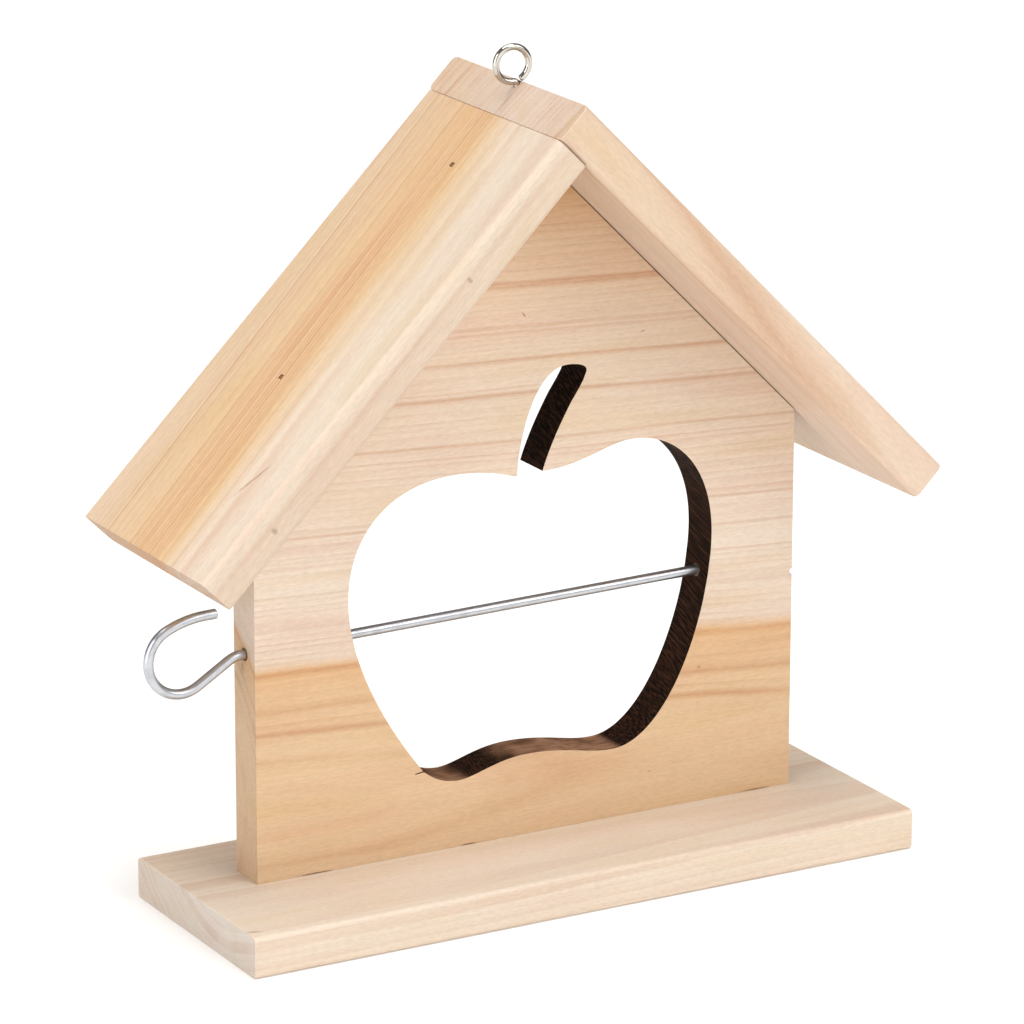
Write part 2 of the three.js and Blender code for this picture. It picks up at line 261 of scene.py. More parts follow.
class NodeSheet:
    """The nodes of a material or of the sky."""

    def __init__(self, owner: Material | World) -> None:
        """Starts with no nodes.

        Args:
            owner: The material or the sky.
        """
        owner.use_nodes = True
        self.owner, self.tree = owner, owner.node_tree
        self.tree.nodes.clear()

    def add(
        self, kind: str, inputs: dict[str | int, Any] | Sequence[Any] = (),
        output: str | int = 0, **settings: Any,
    ) -> NodeSocket:
        """Adds a node with its settings, values and links.

        Args:
            kind: The node's type, without "ShaderNode".
            inputs: What goes into its sockets, by name or number or simply in their order. Each is a
                value or the output that feeds the socket.
            output: The name or number of the output that the caller goes on with.
            **settings: Properties of the node itself.

        Returns:
            That output.
        """
        node = self.tree.nodes.new("ShaderNode" + kind)
        for name, value in settings.items():
            setattr(node, name, value)
        for socket, value in inputs.items() if isinstance(inputs, dict) else enumerate(inputs):
            if isinstance(value, NodeSocket):
                self.tree.links.new(value, node.inputs[socket])
            else:
                node.inputs[socket].default_value = value
        return node.outputs[output]

    def finish(
        self, inputs: dict[str, Any], shader: str = "BsdfPrincipled", end: str = "OutputMaterial",
    ) -> Any:
        """Ends the sheet with its shader.

        Args:
            inputs: What goes into the shader's sockets.
            shader: The shader's type.
            end: The output node's type.

        Returns:
            The material or the sky.
        """
        last = self.tree.nodes.new("ShaderNode" + end)
        self.tree.links.new(self.add(shader, inputs), last.inputs["Surface"])
        return self.owner


class SurfaceSheet(NodeSheet):
    """The nodes of a finish, whose patterns have sizes in millimetres on the piece."""

    def __init__(self, name: str, board: Matrix = Matrix(), seed: float = 0) -> None:
        """Finds each point's place.

        Args:
            name: The finish's name.
            board: The frame that the patterns lie in, in metres.
            seed: What makes its noise its own.
        """
        super().__init__(bpy.data.materials.new(name))
        self.seed = seed
        where = self.add("TexCoord", output="Object")
        self.normal = where.node.outputs["Normal"]
        turned_back = self.add("Mapping", (where, board.translation, board.to_euler()), vector_type="TEXTURE")
        self.place = self.add("VectorMath", {0: turned_back, "Scale": 1 / METRES}, operation="SCALE")

    def grains(
        self, size: Triple, detail: float = 1, roughness: float = 0.5,
        place: NodeSocket | None = None, output: str = "Fac",
    ) -> NodeSocket:
        """Noise whose grains have a given size.

        Args:
            size: Millimetres that a grain measures along X, Y and Z.
            detail: Octaves of finer noise.
            roughness: How strong the finer noise is.
            place: Where the noise is read, if that isn't the place on the piece.
            output: "Fac" or "Color".

        Returns:
            The noise.
        """
        shrunk = self.add("VectorMath", (place or self.place, [1 / s for s in size]), operation="MULTIPLY")
        own = {"W": self.seed} if self.seed else {}
        return self.add("TexNoise", {
            "Vector": shrunk, "Scale": 1, "Detail": detail, "Roughness": roughness, **own,
        }, output, noise_dimensions="4D" if self.seed else "3D")

    def stain(
        self, colour: Any, value: NodeSocket, start: float, end: float, tint: Any,
        most: float = 1, blend: Blend = Blend.GLAZE,
    ) -> NodeSocket:
        """Lays a second colour on a first one, more and more as a value goes from start to end.

        Args:
            colour: The first colour, as an output or as "#rrggbb".
            value: The value.
            start: Where the second colour sets in.
            end: Where there is most of it.
            tint: The second colour, as an output or as "#rrggbb".
            most: How much of it there is then.
            blend: How it lies on the first one.

        Returns:
            The stained colour.
        """
        share = self.add("MapRange", (value, start, end, 0, most), **SMOOTH)
        under, over = (linear(c) if isinstance(c, str) else c for c in (colour, tint))
        return self.add("Mix", {0: share, 6: under, 7: over}, 2, data_type="RGBA", blend_type=blend.value)


# ---- finishes


@dataclass(frozen=True)
class Mark:
    """A dark mark on the wood, in millimetres on the board: a speck, a scar, a short split, or a line of
    painted shade.
    """

    centre: Triple
    length: float
    width: float
    angle: float = 0
    depth: float = 1.5
    colour: str = "#7a4a2c"
    strength: float = 0.8


@dataclass(frozen=True)
class PlanedSoftwood:
    """Bare planed softwood, such as pine or fir, straight from the planer and lightly sanded.

    The growth rings are cylinders about the pith, so a face cut across them shows fine lines, a face
    cut along them shows broad flames, and the end grain shows arcs that meet the lines of both. The
    dense late wood is darker and orange, the heartwood is honey-coloured and the sapwood is pinkish
    cream. The surface is matt, with a very fine tooth along the grain.
    """

    name: str
    board: Matrix  # the board's frame in metres: X along the grain, Y across it, Z out of the face
    pith: tuple[float, float]  # where the rings' axis crosses the board's YZ plane, millimetres
    lean: float  # how far the pith moves in Y for each millimetre along X
    dive: float  # how far it moves in Z, which closes the rings into flames
    ring: float  # millimetres of growth in a year
    zones: tuple[tuple[float, str, float], ...]  # distance, the colour there and its lines' strength; a colour can also hold painted shade
    streaks: tuple[Triple, ...] = ()  # distance, breadth and strength of dark rings
    late_wood: str = "#d39a66"
    wander: float = 0.8  # millimetres that the rings stray from true cylinders
    cloud: float = 0.35  # how strong the pink and straw-coloured clouds are
    end_tint: str = "#d9cdc6"
    marks: tuple[Mark, ...] = ()
    seed: float = 0
    fibre: Triple = (26, 0.62, 0.62)  # drawn about ten times as wide as a real one, so that it shows
    tooth: Triple = (6, 0.35, 0.35)
    speckle: Triple = (2.2, 0.5, 0.5)
    canal: Triple = (4, 0.45, 0.45)  # the short dark dash of a resin canal
    cloud_size: Triple = (70, 9, 9)

    def build(self) -> Material:
        """Makes the wood."""
        return WoodSheet(self).draw()


class WoodSheet(SurfaceSheet):
    """The nodes of one board's wood, which are drawn from the pith outwards."""

    def __init__(self, wood: PlanedSoftwood) -> None:
        """Finds the distance from the pith and lays out the fibres.

        Args:
            wood: The wood to draw.
        """
        super().__init__(wood.name, wood.board, wood.seed)
        self.wood = wood
        self.radius = self._distance_from_pith()
        self.fibre = self.grains(wood.fibre, 2.5, 0.65)

    def draw(self) -> Material:
        """Draws the wood.

        Returns:
            The material.
        """
        wood = self.wood
        colour, strength = self._zone_colour()
        lines = self._ring_lines(strength)
        for share in (lines, self._streak_lines()):
            colour = self.add("Mix", {0: share, 6: colour, 7: linear(wood.late_wood)}, 2,
                              data_type="RGBA", blend_type=Blend.GLAZE.value)
        colour = self.stain(self._fleck(colour), self._end_grain(), 0.75, 0.95, wood.end_tint)
        ragged = self.grains((1.5, 0.5, 0.5))
        for mark in wood.marks:
            colour = self._mark(colour, mark, ragged)
        height = self.add("Math", (lines, 0.8, self.fibre), operation="MULTIPLY_ADD")
        height = self.add("Math", (self.grains(wood.tooth), 0.5, height), operation="MULTIPLY_ADD")
        return self.finish({
            "Base Color": colour, "IOR": 1.5,
            "Roughness": self.add("MapRange", (self.fibre, 0.3, 0.7, 0.72, 0.58), **SMOOTH),
            "Normal": self.add("Bump", {"Strength": 0.35, "Distance": 0.00012, "Height": height}),
        })

    def _distance_from_pith(self) -> NodeSocket:
        """Measures how far a point is from the centre of the growth rings, which stray a little.

        Returns:
            The distance in millimetres.
        """
        wood, strayed = self.wood, self.place
        for size, reach in (((190, 50, 50), 8 * wood.wander), ((45, 12, 12), 1.2 * wood.wander)):
            noise = self.grains(size, output="Color")
            centred = self.add("VectorMath", (noise, (0.5, 0.5, 0.5)), operation="SUBTRACT")
            strayed = self.add("VectorMath", (centred, (0, reach, reach), strayed), operation="MULTIPLY_ADD")
        pith = (0, -wood.pith[0], -wood.pith[1])
        turn = (0, math.atan(wood.dive), -math.atan(wood.lean))
        from_pith = self.add("Mapping", (strayed, pith, turn), vector_type="POINT")
        across = self.add("VectorMath", (from_pith, (0, 1, 1)), operation="MULTIPLY")
        return self.add("VectorMath", (across,), "Value", operation="LENGTH")

    def _zone_colour(self) -> tuple[NodeSocket, NodeSocket]:
        """The colour of heartwood and sapwood, with any shade painted into the zones, and soft pink and
        straw-coloured clouds.

        Returns:
            The wood's colour before its lines, and how strong the lines are there.
        """
        zones = self.wood.zones
        first, last = zones[0][0], zones[-1][0]
        colour = self.add("ValToRGB", (self.add("MapRange", (self.radius, first, last)),))
        fill_ramp(colour.node.color_ramp, [
            ((distance - first) / (last - first), (*linear(tint)[:3], strength))
            for distance, tint, strength in zones
        ])
        strength = colour.node.outputs["Alpha"]
        clouds = self.grains(self.wood.cloud_size, 2)
        colour = self.stain(colour, clouds, 0.45, 0.7, "#f8e4e0", self.wood.cloud)
        return self.stain(colour, clouds, 0.5, 0.3, "#f6e9c8", self.wood.cloud), strength

    def _ring_lines(self, zone_strength: NodeSocket) -> NodeSocket:
        """The late wood of each year: it darkens slowly outwards and stops short.

        Args:
            zone_strength: How strong the lines are at that distance.

        Returns:
            The share of late wood, from 0 to 1.
        """
        years = self.add("Math", (self.radius, self.wood.ring), operation="DIVIDE")
        uneven = self.add("TexNoise", {"W": years, "Scale": 0.43, "Detail": 1}, noise_dimensions="1D")
        years = self.add("Math", (uneven, 2.6, years), operation="MULTIPLY_ADD")
        through_year = self.add("Math", (years,), operation="FRACT")
        year = self.add("Math", (years,), operation="FLOOR")
        chance = self.add("TexWhiteNoise", {"W": year}, "Value", noise_dimensions="1D")
        stop = (through_year, 1, 0.92)
        own_strength = (chance, 0, 1, 0.4, 1)
        fade = (self.grains((120, 9, 9)), 0.3, 0.6, 0.4, 1)
        factors = [self.add("MapRange", spread, **SMOOTH) for spread in (stop, own_strength, fade)]
        lines = self.add("Math", (through_year, 2.4), operation="POWER")
        for factor in (*factors, zone_strength):
            lines = self.add("Math", (lines, factor), operation="MULTIPLY")
        return lines

    def _streak_lines(self) -> NodeSocket | float:
        """The few rings that stand out, broken up a little along their length.

        Returns:
            The share of dark wood, or 0 where the board has no such ring.
        """
        streaks, none = self.wood.streaks, (0, 0, 0, 1)
        if not streaks:
            return 0.0
        reach = streaks[-1][0] + 10
        ramp = self.add("ValToRGB", (self.add("Math", (self.radius, reach), operation="DIVIDE"),))
        stops: list[tuple[float, Colour]] = [(0, none)]
        for distance, breadth, strength in streaks:
            stops.append(((distance - breadth) / reach, none))
            stops.append((distance / reach, (strength, strength, strength, 1)))
            stops.append(((distance + 0.35 * breadth) / reach, none))
        fill_ramp(ramp.node.color_ramp, stops)
        broken = self.add("MapRange", (self.grains((90, 8, 8), 2), 0.3, 0.6, 0.5, 1), **SMOOTH)
        return self.add("Math", (ramp, broken), operation="MULTIPLY")

    def _fleck(self, colour: NodeSocket) -> NodeSocket:
        """Adds the fibres' fine lines, a speckle and the dashes of the resin canals.

        Args:
            colour: The wood's colour with its rings.

        Returns:
            The colour with its flecks.
        """
        light = self.add("Math", (
            self.add("MapRange", (self.fibre, 0.25, 0.75, 0.97, 1.03), **SMOOTH),
            self.add("MapRange", (self.grains(self.wood.speckle), 0.25, 0.75, 0.95, 1.05), **SMOOTH),
        ), operation="MULTIPLY")
        toned = self.add("HueSaturation", {"Color": colour, "Value": light})
        return self.stain(toned, self.grains(self.wood.canal), 0.7, 0.82, "#a9764a", 0.25)

    def _end_grain(self) -> NodeSocket:
        """Measures how far a face looks along the grain.

        Returns:
            0 on a side of the board to 1 on its sawn end.
        """
        grain = self.wood.board.to_3x3() @ Vector((1, 0, 0))
        along = self.add("VectorMath", (self.normal, grain), "Value", operation="DOT_PRODUCT")
        return self.add("Math", (along,), operation="ABSOLUTE")

    def _mark(self, colour: NodeSocket, mark: Mark, ragged: NodeSocket) -> NodeSocket:
        """Adds a mark with a ragged edge.

        Args:
            colour: The wood's colour.
            mark: The mark.
            ragged: The noise that frays its edge.

        Returns:
            The marked colour.
        """
        turn = (0, 0, math.radians(mark.angle))
        reach = (mark.length / 2, mark.width / 2, mark.depth)
        inside = self.add("Mapping", (self.place, mark.centre, turn, reach), vector_type="TEXTURE")
        distance = self.add("VectorMath", (inside,), "Value", operation="LENGTH")
        edge = self.add("Math", (ragged, 0.9, distance), operation="MULTIPLY_ADD")
        return self.stain(colour, edge, 1.45, 0.8, mark.colour, mark.strength)


@dataclass(frozen=True)
class CharredCut:
    """The wall of a cut burnt through the board by a laser.

    The beam leaves a crust of char with fine drag lines down the thickness. It is almost black. Painted
    light makes the walls that face up and a little right a lighter brown, with fibres in patches.
    """

    name: str = "laser charred softwood"
    black: str = "#0e0804"
    brown: str = "#462a1a"
    # painted light: the brown of the walls that face up and a little right
    lit_char: str = "#a87e62"
    line: float = 0.55  # millimetres between drag lines, drawn twice as coarse as they are
    drag: float = 0.3  # how far the lines sink for each millimetre into the board
    fibre: Triple = (16, 0.6, 0.6)  # millimetres of a fibre in the painted-light brown
    patch: float = 13  # millimetres of a patch of the lighter, painted-light brown
    lit_facing: float = 20  # degrees right of upright that the walls with the most painted light face
    lit_within: float = 19  # degrees from there inside which the wall has its full painted light
    black_beyond: float = 35  # degrees from there beyond which it is as black as the upright walls

    def build(self) -> Material:
        """Makes the charred wall.

        Returns:
            The material.
        """
        sheet = SurfaceSheet(self.name)
        sunk = sheet.add("Mapping", {"Vector": sheet.place, "Rotation": (-math.atan(self.drag), 0, 0)},
                         vector_type="POINT")
        lines = sheet.grains((self.line, 30 * self.line, self.line), 2, 0.6, sunk)
        fibres = sheet.grains(self.fibre, 2, 0.6)
        patches = sheet.grains((self.patch, self.patch, self.patch), 2, 0.6)
        crust = sheet.stain(self.black, lines, 0.35, 0.75, self.brown, blend=Blend.COVER)
        lit_wall = sheet.stain(self.brown, fibres, 0.2, 0.6, self.lit_char, blend=Blend.COVER)
        lit_wall = sheet.stain(self.brown, patches, 0.25, 0.6, lit_wall, blend=Blend.COVER)
        # Painted light: walls that face up and a little right turn lighter brown, the others stay near black.
        lit_facing = math.radians(self.lit_facing)
        towards_light = sheet.add("VectorMath", (sheet.normal, (math.sin(lit_facing), 0, math.cos(lit_facing))), "Value",
                           operation="DOT_PRODUCT")
        far, near = (math.cos(math.radians(angle)) for angle in (self.black_beyond, self.lit_within))
        return sheet.finish({
            "Base Color": sheet.stain(crust, towards_light, far, near, lit_wall, blend=Blend.COVER),
            "Roughness": 0.9, "Specular IOR Level": 0.1,
            "Normal": sheet.add("Bump", {"Strength": 0.6, "Distance": 0.00015, "Height": lines}),
        })


@dataclass(frozen=True)
class BruisedAndShadedWood:
    """Fibres crushed by a nail head or a drill: rough, darker, and painted darker still as shade in the holes.
    """

    name: str = "bruised softwood"
    # painted shade: both browns are darker than crushed fibres alone, for the shade in the pits and holes
    colour: str = "#8a5a36"
    shade: str = "#5c3a22"
    fibre: Triple = (0.5, 0.5, 0.5)

    def build(self) -> Material:
        """Makes the crushed fibres with their painted shade.

        Returns:
            The material.
        """
        sheet = SurfaceSheet(self.name)
        fibres = sheet.grains(self.fibre, 2)
        return sheet.finish({
            "Base Color": sheet.add("Mix", {0: fibres, 6: linear(self.shade), 7: linear(self.colour)}, 2,
                                    data_type="RGBA"),
            "Roughness": 0.85,
            "Normal": sheet.add("Bump", {"Strength": 0.5, "Distance": 0.0001, "Height": fibres}),
        })


@dataclass(frozen=True)
class PlatedSteel:
    """Drawn steel wire or a steel fastener with a thin metal plating.

    The plating is bright and nearly colourless. Drawing the wire leaves faint lines along it, and
    handling leaves dull clouds.
    """

    name: str
    colour: str
    dull: str
    roughness: float
    cloud: float = 6  # millimetres that a dull cloud measures
    grain: Triple = (9, 0.35, 0.35)  # millimetres of a draw line along X, Y and Z

    def build(self) -> Material:
        """Makes the plated metal.

        Returns:
            The material.
        """
        sheet = SurfaceSheet(self.name)
        clouds = sheet.grains((self.cloud, self.cloud, self.cloud), 4, 0.6)
        dull = sheet.add("MapRange", (clouds, 0.45, 0.75))
        return sheet.finish({
            "Base Color": sheet.add("Mix", {0: dull, 6: linear(self.colour), 7: linear(self.dull)}, 2,
                                    data_type="RGBA"),
            "Metallic": 1,
            "Roughness": sheet.add("MapRange", (clouds, 0.3, 0.7, self.roughness, 1.6 * self.roughness)),
            "Normal": sheet.add("Bump", {
                "Strength": 0.15, "Distance": 0.00003, "Height": sheet.grains(self.grain),
            }),
        })


# ---- boards


def slope_frame(pitch: float) -> Matrix:
    """The frame of a roof slope: X up or down the slope towards +X, Z out of the roof.

    Args:
        pitch: The slope's turn about Y, in degrees.

    Returns:
        The frame in metres, with its origin at the top of the house panel.
    """
    low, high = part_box("house_panel")
    apex = middle(low, high)
    apex.z = high.z
    return Matrix.Translation(apex) @ Matrix.Rotation(math.radians(pitch), 4, "Y")


@dataclass
class Plank:
    """A straight board with its long edges rounded over and its ends sawn square."""

    node: str
    name: str
    slot: Slot
    own_frame: Matrix
    wood: PlanedSoftwood
    edge_radius: float
    end_wear: float = 0.35
    snug: float = 0  # millimetres by which the upper end is driven further into its joint
    cutters: list[Callable[[Material], Object]] = field(default_factory=list)

    def blank(self) -> BMesh:
        """Planes the board to the size of its CAD node and rounds its edges.

        Returns:
            The board in its own frame, in millimetres.
        """
        low, high = measured(self.node, self.own_frame)
        high.x += self.snug
        bm = block(high - low, middle(low, high))
        long_edges = [e for e in bm.edges if abs((e.verts[0].co - e.verts[1].co).x) > 1]
        round_over(bm, long_edges, self.edge_radius, 6)
        ends = [e for e in bm.edges for x in (low.x, high.x)
                if all(abs(v.co.x - x) < 0.01 for v in e.verts)]
        round_over(bm, ends, self.end_wear, 3)
        return bm

    def build(self, bruise_and_shade: Material) -> Object:
        """Makes the board, its holes and its wood.

        Args:
            bruise_and_shade: The material of the holes' walls.

        Returns:
            The finished board.
        """
        board = make_object(self.name, self.blank(), [self.wood.build()], self.own_frame)
        for make_cutter in self.cutters:
            carve(board, make_cutter(bruise_and_shade))
        return hand_over(board, self.node)


@dataclass
class HousePanel:
    """The house front: a pentagon with an apple and its stem burnt through it."""

    node: str = "house_panel"
    name: str = "house_front_board"
    edge_wear: float = 0.3
    shortest_edge: float = 0.45  # shorter edges, at the ends of the slit, stay as they are
    upright: float = 20  # the length from which an edge can be one of the panel's own upright corners
    char_margin: float = 6  # millimetres from the outline inside which a wall is a burnt one
    longest_facet: float = 1.6
    corner: float = 35  # degrees from which the outline has a corner
    chip_height: float = 79.8
    chip_size: Triple = (0.9, 1.6, 1.0)

    def shell(self) -> BMesh:
        """Copies the CAD panel, joins its triangles into whole faces and rounds its outlines.

        Returns:
            The panel in metres.
        """
        bm = bmesh.new()
        bm.from_mesh(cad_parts[self.node].data)
        bmesh.ops.remove_doubles(bm, verts=bm.verts[:], dist=METRES * 0.002)
        bmesh.ops.dissolve_limit(bm, angle_limit=math.radians(0.4), use_dissolve_boundaries=False,
                                 verts=bm.verts[:], edges=bm.edges[:], delimit={"NORMAL"})
        low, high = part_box(self.node)
        self._char(bm, low, high)
        for _ in range(2):
            self._smooth_cut(bm, low.y, high.y)
        rims = [e for e in bm.edges if self._is_rim(e, low, high)]
        round_over(bm, rims, METRES * self.edge_wear, 2)
        return bm

    def _is_rim(self, edge: BMEdge, low: Vector, high: Vector) -> bool:
        """Whether an edge lies on the outline of the front or back face, or is an upright corner.

        Args:
            edge: The edge.
            low: The panel's lowest corner.
            high: Its highest corner.

        Returns:
            Whether it is worn round.
        """
        length = edge.calc_length() / METRES
        if len(edge.link_faces) != 2 or length < self.shortest_edge:
            return False
        if edge.calc_face_angle(0) < math.radians(self.corner):
            return False
        on_face = any(self._runs_at(edge, 1, y) for y in (low.y, high.y))
        return on_face or (length > self.upright and any(self._runs_at(edge, 0, x) for x in (low.x, high.x)))

    @staticmethod
    def _runs_at(edge: BMEdge, axis: int, place: float) -> bool:
        """Whether both ends of an edge have a given coordinate."""
        return all(abs(v.co[axis] - place) < METRES * 0.05 for v in edge.verts)

    def _char(self, bm: BMesh, low: Vector, high: Vector) -> None:
        """Gives the walls of the apple and the stem the second material slot.

        Args:
            bm: The panel in metres.
            low: Its lowest corner.
            high: Its highest corner.
        """
        margin = METRES * self.char_margin
        for face in bm.faces:
            at = face.calc_center_median()
            aside = abs(at.x)
            inside = aside < high.x - margin and low.z + margin < at.z < high.z - aside - 1.4 * margin
            if inside and abs(face.normal.y) < 0.02:
                face.material_index = 1

    def _smooth_cut(self, bm: BMesh, front: float, back: float) -> None:
        """Halves the burnt walls' longer faces, along the curve that runs through their corners.

        Args:
            bm: The panel in metres.
            front: The front face's Y.
            back: The back face's Y.
        """
        plans = []
        for face in bm.faces:
            rims = [e for e in face.edges for y in (front, back) if self._runs_at(e, 1, y)]
            burnt = face.material_index == 1 and len(face.verts) == 4 and len(rims) == 2
            if burnt and min(e.calc_length() for e in rims) > METRES * self.longest_facet:
                plans.append((face, [(rim, self._halfway(rim)) for rim in rims]))
        for face, rims in plans:
            ends = []
            for rim, place in rims:
                _, vertex = bmesh.utils.edge_split(rim, rim.verts[0], 0.5)
                vertex.co = place
                ends.append(vertex)
            bmesh.utils.face_split(face, *ends)

    def _halfway(self, rim: BMEdge) -> Vector:
        """The middle of a rim's curve, from the directions in which it enters and leaves.

        Args:
            rim: An edge of the cut-out's outline.

        Returns:
            The point, in metres.
        """
        first, last = rim.verts
        chord = last.co - first.co
        ways: list[Vector | None] = []
        for corner, sign in ((first, 1), (last, -1)):
            beyond = [e.other_vert(corner).co for e in corner.link_edges
                      if e is not rim and self._runs_at(e, 1, corner.co.y)
                      and any(f.material_index == 1 for f in e.link_faces)]
            step = sign * (corner.co - beyond[0]) if len(beyond) == 1 else Vector()
            if step.length == 0 or step.angle(chord) > math.radians(self.corner):
                ways.append(None)
            else:
                way = chord.normalized() * step.length + step.normalized() * chord.length
                ways.append(way.normalized())
        into, out = ways
        along = chord.normalized()
        if into is None and out is not None:
            into = 2 * along.dot(out) * along - out
        if out is None and into is not None:
            out = 2 * along.dot(into) * along - into
        bulge = (into - out) * (chord.length / 8) if into is not None and out is not None else Vector()
        return middle(first.co, last.co) + bulge

    def _chip(self, wood: Material) -> Object:
        """The cutter for a chip out of the front right corner.

        Args:
            wood: The panel's wood.

        Returns:
            The cutter.
        """
        low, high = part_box(self.node)
        bm = bmesh.new()
        bmesh.ops.create_icosphere(bm, subdivisions=3, radius=1, matrix=Matrix.Diagonal((*self.chip_size, 1)))
        return make_object("chip", bm, [wood], Matrix.Translation((high.x, low.y, METRES * self.chip_height)))

    def build(self, wood: PlanedSoftwood, char: Material) -> Object:
        """Makes the panel.

        Args:
            wood: The panel's wood.
            char: The material of the burnt walls.

        Returns:
            The finished panel.
        """
        sawn = wood.build()
        panel = make_object(self.name, self.shell(), [sawn, char])
        carve(panel, self._chip(sawn))
        return hand_over(panel, self.node)


# ---- bent wire


class WireBender:
    """Draws round wire in the XZ plane as a bending jig does: straight runs and round bends."""

    def __init__(self, start: tuple[float, float], heading: float, sides: int) -> None:
        """Starts at a point.

        Args:
            start: X and Z of the wire's first end, in millimetres.
            heading: The way it sets off, in degrees from +X towards +Z.
            sides: Faces round the wire.
        """
        self.bm = bmesh.new()
        self.place = Vector((start[0], 0, start[1]))
        self.heading = math.radians(heading)
        turn = Matrix.Rotation(math.pi / 2 - self.heading, 4, "Y")
        bmesh.ops.create_circle(self.bm, cap_ends=True, radius=1e-3, segments=sides,
                                matrix=Matrix.Translation(self.place) @ turn)
        self.edges = self.bm.edges[:]

    def _ahead(self) -> Vector:
        """The direction in which the wire goes on."""
        return Vector((math.cos(self.heading), 0, math.sin(self.heading)))

    def run(self, length: float, radius: float | None = None) -> None:
        """Goes straight on, and may change the wire's radius on the way.

        Args:
            length: Millimetres, or 0 to step in or out in one place.
            radius: The radius at the end of the run, or None to keep it.
        """
        made = bmesh.ops.extrude_edge_only(self.bm, edges=self.edges)["geom"]
        fresh = {g for g in made if isinstance(g, BMVert)}
        self.edges = [g for g in made if isinstance(g, BMEdge) and all(v in fresh for v in g.verts)]
        step = length * self._ahead()
        for vertex in fresh:
            out = vertex.co - self.place
            size = radius if radius is not None else out.length
            vertex.co = self.place + step + out.normalized() * size
        self.place = self.place + step

    def bend(self, radius: float, turn: float, step: float = 6) -> None:
        """Goes round a bend.

        Args:
            radius: The bend's radius at the middle of the wire, in millimetres.
            turn: Degrees to the left as seen from the front, or to the right if negative.
            step: Degrees for each facet.
        """
        side = math.copysign(1, turn)
        ahead = self._ahead()
        left = Vector((-ahead.z, 0, ahead.x))
        centre = self.place + side * radius * left
        angle = math.radians(turn)
        steps = max(2, round(abs(turn) / step))
        ring = list(dict.fromkeys(vertex for edge in self.edges for vertex in edge.verts))
        made = bmesh.ops.spin(self.bm, geom=ring + self.edges, cent=centre, axis=(0, -1, 0),
                              dvec=(0, 0, 0), angle=angle, steps=steps, use_merge=False, use_duplicate=False)
        self.edges = [g for g in made["geom_last"] if isinstance(g, BMEdge)]
        self.place = centre + Matrix.Rotation(angle, 3, (0, -1, 0)) @ (self.place - centre)
        self.heading += angle

    def finish(self) -> BMesh:
        """Closes the open end.

        Returns:
            The wire in millimetres.
        """
        bmesh.ops.holes_fill(self.bm, edges=self.edges, sides=0)
        bmesh.ops.recalc_face_normals(self.bm, faces=self.bm.faces[:])
        return self.bm


def add_thread(
    bm: BMesh, root: float, crest: float, pitch: float, low: float, high: float, sides: int = 20
) -> None:
    """Winds a screw thread round Z as a ridge of its own.

    Args:
        bm: The bmesh that takes it, in millimetres.
        root: The radius that the ridge stands on.
        crest: The radius of its crest.
        pitch: Millimetres that it climbs in a turn.
        low: The height where it starts.
        high: The height where it ends.
        sides: Steps in a turn.
    """
    inner = 0.85 * root  # sunk into the shank
    section = [(inner, 0), (crest, 0.42 * pitch), (crest, 0.52 * pitch), (inner, 0.8 * pitch)]
    points = [bm.verts.new((radius, 0, low + height)) for radius, height in section]
    lines = [bm.edges.new((points[i], points[(i + 1) % 4])) for i in range(4)]
    first = bm.faces.new(points)
    steps = round(((high - low) / pitch - 1) * sides)
    made = bmesh.ops.spin(bm, geom=points + lines, cent=(0, 0, 0), axis=(0, 0, 1), dvec=(0, 0, pitch / sides),
                          angle=math.tau * steps / sides, steps=steps, use_merge=False, use_duplicate=False)
    last = [g for g in made["geom_last"] if isinstance(g, BMEdge)]
    bmesh.ops.holes_fill(bm, edges=last, sides=0)
    first.normal_update()
    bmesh.ops.recalc_face_normals(bm, faces=bm.faces[:])


@dataclass
class Skewer:
    """The sliding wire that carries the apple: a pointed rod with an open finger loop."""

    node: str = "skewer"
    name: str = "skewer_wire"
    axis_height: float = 82
    rise: float = 1
    tip: float = 70.65
    neck: float = -91.1
    radius: float = 1.5
    point: float = 7
    point_radius: float = 0.4
    tip_wear: float = 0.2  # the length over which the very tip is blunt
    shoulder: float = 0.8  # the length over which the point blends into the rod
    neck_bend: float = 8
    leg_angle: float = 30.5
    leg: float = 11.4
    loop_radius: float = 10.15
    loop_turn: float = 186.5
    lip_radius: float = 30
    lip_turn: float = 24
    lip: float = 3.5
    burr: float = 0.25

    def build(self, zinc: Material) -> Object:
        """Bends the skewer.

        Args:
            zinc: The wire's plating.

        Returns:
            The skewer.
        """
        wire = WireBender((self.tip, 0), 180, 28)
        wire.run(0.25 * self.tip_wear, 0.6 * self.point_radius)
        wire.run(0.75 * self.tip_wear, self.point_radius)
        wire.run(self.point - self.tip_wear, 0.94 * self.radius)
        wire.run(self.shoulder, self.radius)
        wire.run(self.tip - self.point - self.shoulder - self.neck)
        wire.bend(self.neck_bend, self.leg_angle)
        wire.run(self.leg)
        wire.bend(self.loop_radius, -self.loop_turn, 4)
        wire.bend(self.lip_radius, -self.lip_turn, 4)
        wire.run(self.lip - self.burr)
        wire.run(self.burr, self.radius - self.burr)
        crossing = Vector((0, middle(*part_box("house_panel")).y, METRES * self.axis_height))
        place = Matrix.Translation(crossing) @ Matrix.Rotation(math.radians(-self.rise), 4, "Y")
        rod = make_object(self.name, wire.finish(), [zinc], place)
        return hand_over(rod, self.node, Body.SKEWER)


